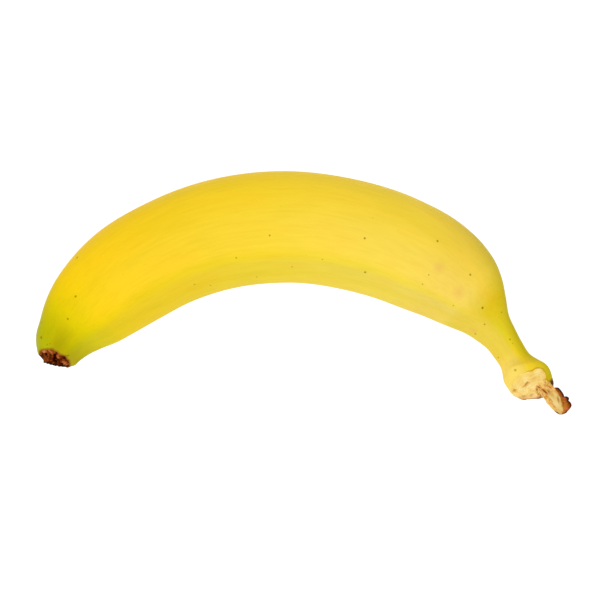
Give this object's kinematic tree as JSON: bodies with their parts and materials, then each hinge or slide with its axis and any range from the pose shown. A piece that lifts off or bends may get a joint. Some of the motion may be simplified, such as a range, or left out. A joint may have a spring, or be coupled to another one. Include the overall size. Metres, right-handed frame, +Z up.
{
  "type": "banana",
  "caption": "Whole ripe unpeeled banana lying on its side: curved ridged yellow peel, dry brown flower scar and a broken stalk with a torn strip of fibre.",
  "frame": {"origin": "centre of the bounding box in plan, on the table under the fruit", "axes": "+Z up off the table, +X along the fruit from the flower scar to the stalk, +Y towards the outer curve of the bend"},
  "size_m": [0.1784, 0.081, 0.0349],
  "materials": {
    "peel": "satin waxy fruit peel",
    "stalk_fibre": "matt torn plant fibre",
    "dried_tissue": "matt dry brown plant tissue"
  },
  "bodies": {
    "root": {"banana": "peel"}
  },
  "joints": []
}
